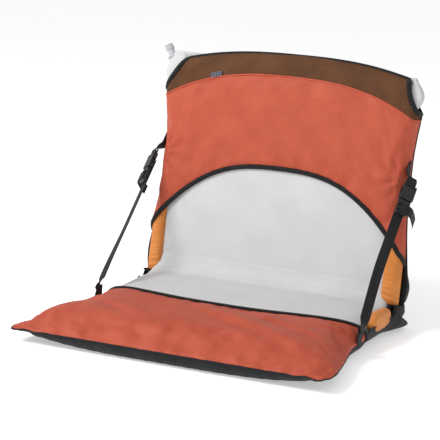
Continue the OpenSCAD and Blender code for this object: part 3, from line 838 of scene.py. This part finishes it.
def top_edge(share):
    """The shell's top edge as (x, height): the hem, then a cut across each corner."""
    ends = np.array([(BACK_HALF, SHOULDER), (254, 378), (246, 392), (239, 407), (234, 418),
                     (HEM_HALF, HEM_END)], float)
    lengths = distances(ends)
    size = np.abs(share)
    along = (1 - np.clip((size - HEM_SHARE) / (1 - HEM_SHARE), 0, 1)) * lengths[-1]
    on_hem = size <= HEM_SHARE
    x = np.where(on_hem, size / HEM_SHARE * HEM_HALF, np.interp(along, lengths, ends[:, 0]))
    height = np.where(on_hem, hem_edge(x), np.interp(along, lengths, ends[:, 1]))
    shift = HEM_SHIFT * np.clip((height - SHOULDER) / (HEM_END - SHOULDER), 0, 1) ** 2
    return np.sign(share) * x + shift, height


def mesh_band():
    share = shares()[None]
    step = np.linspace(0, 1, 30)[:, None]
    top_x, top_height = top_edge(share)
    foot_height = mesh_seam(BACK_HALF * share)
    foot_x = back_half(foot_height) * share
    x = foot_x * (1 - step) + top_x * step
    height = foot_height * (1 - step) + top_height * step
    points = back_frame(x, front_depth(x, height), height)
    normal = grid_normals(points, BACK_INSIDE)
    inner = np.sin(np.pi * step) ** 0.5 * crown(share, 30, 0.5)
    creases = 1.6 * ripple(points * (1, 1, 2.2), 60, 31) + 0.6 * ripple(points, 20, 33)
    points = raised(points, normal, creases * inner)
    sewn_panel("mesh_band", "mesh_panel", points, BACK_INSIDE, NET, "back", 0.6)
    sewn_panel("mesh_lining", "mesh_backing", points - normal * 1.0 * MM, BACK_INSIDE, ORANGE,
               "back", 0.5)
    top_bindings(points)


def rear_panel():
    share = shares(121)[None]
    upright = [(PANEL_REAR, height) for height in (150, 200, 250, 300, 350, 385)]
    path = rounded(np.array([(-1, 1), (10, 1.5), (30, 3), (55, 6), (76, 9), (85, 15), (86.5, 24), (82, 36),
                             (66, 57), (51, 86), (43.5, 118), *upright, (40, 414), (35, 432), (26, 444),
                             (16, 449.5)], float))
    steps = distances(path)
    outline = sample(path, np.linspace(0, steps[-1], 104), steps)
    depth, height = outline[:, :1], outline[:, 1:]
    edge = crown(share, 22, 0.5)
    under = np.clip(1 - height / 22, 0, 1) * (depth < 86.6)
    rim_depth = np.minimum(depth, SIDE_SEAM + 0.25 * under * np.maximum(depth - SIDE_SEAM, 0))
    rim_height = np.maximum(height, 7 * under)
    # the top follows the hem and the cut corners
    top_x, top_height = top_edge(share)
    span = np.clip((height - 340) / (BACK_TOP - 340), 0, 1)
    lowered = height + (top_height - BACK_TOP) * span ** 1.5
    height = np.where(span > 0, lowered, rim_height * (1 - edge) + height * edge)
    bulge = 14 * bell(height, 40, 32) * np.clip((depth - SIDE_SEAM) / 20, 0, 1) * edge
    x = (back_half(height) + bulge) * share
    x = x * (1 - span ** 3) + top_x * span ** 3
    corner = crown(share, 22, 0.5) * (1 - span ** 2) + span ** 2 * crown(share, 9, 0.5)
    depth = rim_depth + (depth - rim_depth) * corner
    shoulder = np.clip((np.abs(x) - HEM_HALF) / 30, 0, 1) * span ** 2
    depth = depth * (1 - shoulder) + PAD_REAR * shoulder
    points = back_frame(x, depth, height)
    normal = grid_normals(points, BACK_INSIDE)
    folds = 2.0 * ripple(points, 85, 41) + 0.8 * ripple(points, 26, 43)
    points = raised(points, normal, folds * crown(share, 16, 0.5))
    sewn_panel("back_rear_panel_cloth", "back_rear_panel", points, BACK_INSIDE, BLACK,
               "back")


def top_bindings(mesh_points):
    """The hem's tape and the heavier tape along each open corner."""
    share = shares()
    on_hem = np.nonzero(np.abs(share) < HEM_SHARE + 0.01)[0]
    edge, inner = mesh_points[-1], mesh_points[-5]
    normal = grid_normals(mesh_points, BACK_INSIDE)[-1]
    edge_tape("hem_tape", "top_hem_binding", edge[on_hem], inner[on_hem], normal[on_hem], "back",
              width=7, thickness=3.6, lift=0.4)
    for side, word in SIDES:
        chosen = np.nonzero(side * share > HEM_SHARE - 0.01)[0]
        edge_tape(f"corner_tape_{word}", f"corner_binding_{word}", edge[chosen], inner[chosen],
                  normal[chosen], "back", width=9.5, thickness=5, lift=0.4)


def side_piping(side, word):
    height = np.linspace(4, SHOULDER - 2, 90)
    # low down, the rear panel's cloth stands out behind the seam
    spare = 8 * bell(height, 40, 44)
    path = back_frame(side * (back_half(height) + 0.4 + spare / 2), SIDE_SEAM, height)
    across = np.broadcast_to(np.array([side, 0.0, 0.0]), path.shape)
    piping(f"side_piping_{word}", path, across, 3.8 + spare, 3.4, "back")


def back_sleeve(side, word):
    """The orange sleeve that holds the back's stay, beside the pad and under the arch."""
    shape = oval(44, 3.4)
    x = (245.5 + 16 * shape[:, 0])[None]
    step = 0.5 + 0.5 * shares(90)[:, None]
    height = 4 + step * (arch_edge(x) - 1)
    taper = (1 - np.abs(2 * step - 1) ** 14 + 1e-4) ** 0.5
    low = bell(height, 26, 34)
    fold = np.sin(height / 1.45 + 1.6 * np.sin(height / 7) + x / 9) * (0.3 + 0.7 * low)
    front = np.clip(-shape[:, 1], 0, 1)[None]
    half = np.where(shape[:, 1] < 0, 17.5 - front_depth(x, height), 12)
    depth = 18 + shape[:, 1] * half * taper - front * (0.9 * fold + 2.0 * low)
    rings = back_frame(side * x, depth, height)
    stuffed_sleeve(f"back_sleeve_padding_{word}", f"back_sleeve_{word}", rings, "back")


def gusset():
    """The cloth between seat and back, shaped to the back's lean, with soft pleats."""
    # round the rear in plan, from left to right
    angle = math.pi * np.linspace(0, 1, 121)[None]
    across = -bent(np.cos(angle), 0.16)
    rear = np.abs(np.sin(angle)) ** 0.35
    step = np.linspace(0, 1, 22)[:, None]
    low_y = 414 + 73 * rear
    high_y, high_z = leaning(2 + 80 * rear, 4 + 8 * rear)
    bulge = np.sin(np.pi * step)
    x = across * (BACK_HALF + 8 * bulge * rear - 2)
    y = low_y * (1 - step) + high_y * step + 3 * bulge * rear
    z = base_rim(low_y) * (1 - step) + high_z * step
    points = seat_frame(x, y, z)
    middle = seat_frame(0, 440, 30)
    normal = grid_normals(points, middle)
    pleats = 1.6 * bulge * ripple(points * (1, 1, 2.5), 26, 51)
    points = raised(points, normal, pleats)
    piece = grid_piece("hinge_gusset", points, middle, BLACK, 0.8)
    seat_frame(0, 466, 15)
    seat_frame(0, 473, 49)
    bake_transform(piece)


def label():
    """The small woven tab over the mesh's lower seam."""
    tall = 10
    x = np.linspace(-162, -138, 22)[None]
    rise = np.linspace(0, tall, 10)[:, None]
    height = mesh_seam(x) + 0.5 + rise
    out = 2.0 + 0.5 * np.sin(np.pi * rise / tall)
    points = back_frame(x, front_depth(x, height) - out, height)
    piece = grid_piece("mesh_seam_tab", points, BACK_INSIDE, LABEL, 0.8)
    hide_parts("woven_tab")
    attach(piece, "back")


# ---- straps and buckles

def across_at(side, turn):
    """Direction in the strap's frame of a width turned by an angle, in the row frame."""
    origin = strap_frame(side, 0 * turn, 0 * turn, 0 * turn)
    return unit(strap_frame(side, np.cos(turn), np.sin(turn), 0 * turn) - origin)


def strap(side, word):
    arm_y, arm_z = STRAP_FOOT[0] - BUCKLE_PIVOT[0], STRAP_FOOT[1] - BUCKLE_PIVOT[1]
    foot_w = arm_y * math.sin(STRAP_TILT) + arm_z * math.cos(STRAP_TILT)
    foot_v = arm_y * math.cos(STRAP_TILT) - arm_z * math.sin(STRAP_TILT)
    # the strap turns a little from its bend on, and lies flat at its foot
    bend, flat = -170, -294
    w = np.concatenate([[foot_w - 7], np.linspace(foot_w, bend, 44), np.linspace(-160, -22, 24)])
    below = np.clip((bend - w) / (bend - foot_w), 0, 1)
    last = np.clip((flat - w) / (flat - foot_w), 0, 1)
    foot_turn = math.radians(48 if side > 0 else 32)
    turn = TWIST + (foot_turn - TWIST) * eased(below)
    turn = turn + (math.pi / 2 - turn) * eased(last)
    # its hidden end lies this far behind the buckle
    under = 7.4
    x = STRAP_X - under * math.sin(TWIST) * (1 - eased(below))
    v = foot_v * below ** 2 + under * math.cos(TWIST) * (1 - below ** 2)
    webbing(f"webbing_strap_{word}", f"strap_{word}", strap_frame(side, x, v, w),
            across_at(side, turn), f"{word}_strap", WEB_THICK)


def strap_patch(side, word):
    """The sewn end of the strap, folded and tacked to the seat's side."""
    z = np.linspace(29, 60, 24)
    path = seat_frame(side * (262.6 + 0.5 * np.sin((z - 29) / 31 * math.pi)), STRAP_FOOT[0], z)
    across = np.broadcast_to(np.array([0.0, 1.0, 0.0]), path.shape)
    webbing(f"strap_patch_{word}", f"strap_anchor_{word}", path, across, "seat", 2.2)
    lean = np.linspace(-1, 1, 16)
    path = seat_frame(side * 265.4, STRAP_FOOT[0] - 2 + 9 * lean, 43 + 16 * lean)
    across = np.broadcast_to(np.array([0.0, 0.87, -0.49]), path.shape)
    webbing(f"strap_fold_{word}", None, path, across, "seat", WEB_THICK)
    normal = np.broadcast_to(np.array([float(side), 0.0, 0.0]), (3, 3))
    for k, rise in enumerate((33, 45)):
        ends = [(-8, rise), (8, rise + 8), (8, rise)]
        line = np.array([seat_frame(side * 266.6, STRAP_FOOT[0] + a, b) for a, b in ends])
        stitches(f"patch_stitches_{word}_{k}", line, normal, THREAD_BLACK, "seat",
                 length=2.2, gap=0.8)


def buckle_webbing(side, word):
    """The webbing from the back's side seam, and the loop round the buckle's bar."""
    w = np.linspace(44, 6, 40)
    near = eased(np.clip((20 - w) / 14, 0, 1))
    turn = math.pi / 2 + (TWIST - math.pi / 2) * near
    seam_x = 253.2
    x = seam_x + (STRAP_X - seam_x) * near
    webbing(f"buckle_tape_{word}", f"buckle_anchor_{word}", strap_frame(side, x, 0 * w, w),
            across_at(side, turn), "back", 2.4)
    bend = np.linspace(-math.pi / 2, math.pi / 2, 14)
    out = np.concatenate([[-2.4] * 5, 2.6 * np.sin(bend), [2.4] * 5])
    along = np.concatenate([np.linspace(4, -10, 5), -11 - 1.9 * np.cos(bend), np.linspace(-10, 4, 5)])
    face = across_at(side, np.full(len(out), TWIST + math.pi / 2))
    centre = strap_frame(side, np.full(len(out), STRAP_X), 0 * out, along)
    webbing(f"buckle_loop_webbing_{word}", f"buckle_loop_{word}", centre + face * (out * MM)[:, None],
            across_at(side, np.full(len(out), TWIST)), f"{word}_buckle", 1.4)


def strap_tail(side, word):
    """The free end of the strap, over the plug's outer edge and hanging rearwards."""
    out = np.array([math.sin(TWIST), -math.cos(TWIST)]) * 3.8
    wide = np.array([math.cos(TWIST), math.sin(TWIST)])
    start = np.array([STRAP_X, 0]) + out
    edge = start + wide * 13
    path = rounded(np.array([start - wide * 6, start + wide * 4, edge, edge + (3, 6),
                             edge + (3.5, 14), edge + (2.5, 35), edge + (0, 42)]))
    rise = np.full(len(path), -61.0)
    points = strap_frame(side, path[:, 0], path[:, 1], rise)
    across = unit(strap_frame(side, path[:, 0], path[:, 1], rise + 1) - points)
    webbing(f"strap_tail_webbing_{word}", f"strap_tail_{word}", points, across, f"{word}_plug",
            WEB_THICK)


# ---- carried-over CAD parts

def finish_nodes():
    for name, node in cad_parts.items():
        material, width = None, 0.5
        if name.startswith(("buckle_female", "buckle_male", "latch")) or name.endswith("tips"):
            material = BUCKLE
        elif "stay" in name:
            material = STAY
        elif name.startswith("valve"):
            material, width = VALVE, 0.6
        elif "foam" in name:
            material = FOAM
        if material is None:
            continue
        node.data.materials.clear()
        node.data.materials.append(material)
        bevel = node.modifiers.new("edges", "BEVEL")
        bevel.width = width * MM
        bevel.segments = 3
        bevel.limit_method = "ANGLE"
        bevel.angle_limit = math.radians(35)
        bevel.harden_normals = True


# ---- stage, light and camera

def camera():
    """The view from the front right and a little above, with a slight roll."""
    azimuth, elevation, roll = 0.43192, 0.20705, 0.04015
    level = math.cos(elevation)
    backwards = Vector((math.sin(azimuth) * level, -math.cos(azimuth) * level, math.sin(elevation)))
    right = (-backwards).cross(Vector((0, 0, 1))).normalized()
    up = right.cross(-backwards)
    across = right * math.cos(roll) + up * math.sin(roll)
    upright = up * math.cos(roll) - right * math.sin(roll)
    data = bpy.data.cameras.new("camera")
    data.lens = 157.1
    data.sensor_width = 36
    made = placed("camera", data)
    place = Matrix((across, upright, backwards)).transposed().to_4x4()
    place.translation = Vector((1.408, -2.853 + FRONT_SEAM * MM, 0.932))
    made.matrix_world = place
    bpy.context.scene.camera = made


def floor():
    recipe = Recipe("paper_sweep", 0.85, Emission_Color=(1, 1, 1, 1), Emission_Strength=0.42)
    clouds = recipe.noise(0.5, recipe.place)
    recipe.colour(clouds, (0.93, 0.93, 0.93), (0.95, 0.95, 0.95))
    mesh = bpy.data.meshes.new("floor")
    far = 9
    corners = [(-far, -far, 0), (far, -far, 0), (far, far, 0), (-far, far, 0)]
    mesh.from_pydata(corners, [], [(0, 1, 2, 3)])
    mesh.materials.append(recipe.material)
    made = placed("floor", mesh)
    made.location.z = -0.0006


def area_light(name, place, target, size, energy):
    data = bpy.data.lights.new(name, "AREA")
    data.size = size
    data.energy = energy
    made = placed(name, data)
    made.location = place
    made.rotation_mode = "QUATERNION"
    made.rotation_quaternion = (Vector(target) - Vector(place)).to_track_quat("-Z", "Y")


def lights():
    world = bpy.data.worlds.new("studio")
    bpy.context.scene.world = world
    world.use_nodes = True
    background = world.node_tree.nodes["Background"]
    background.inputs[0].default_value = (1, 1, 1, 1)
    background.inputs[1].default_value = 0.54
    area_light("key", (-1.7, -1.8, 2.4), (0, 0, 0.15), 1.3, 78)
    area_light("fill", (1.6, -2.4, 1.6), (0, 0, 0.2), 1.8, 10)
    bpy.context.scene.view_settings.view_transform = "Standard"
    bpy.context.scene.view_settings.look = "None"


camera()
floor()
lights()
mattress()
seat_pocket()
seat_base()
red_panel()
mesh_band()
rear_panel()
gusset()
label()
for side, word in SIDES:
    seat_sleeve(side, word)
    back_sleeve(side, word)
    side_piping(side, word)
    strap(side, word)
    strap_patch(side, word)
    buckle_webbing(side, word)
    strap_tail(side, word)
finish_nodes()
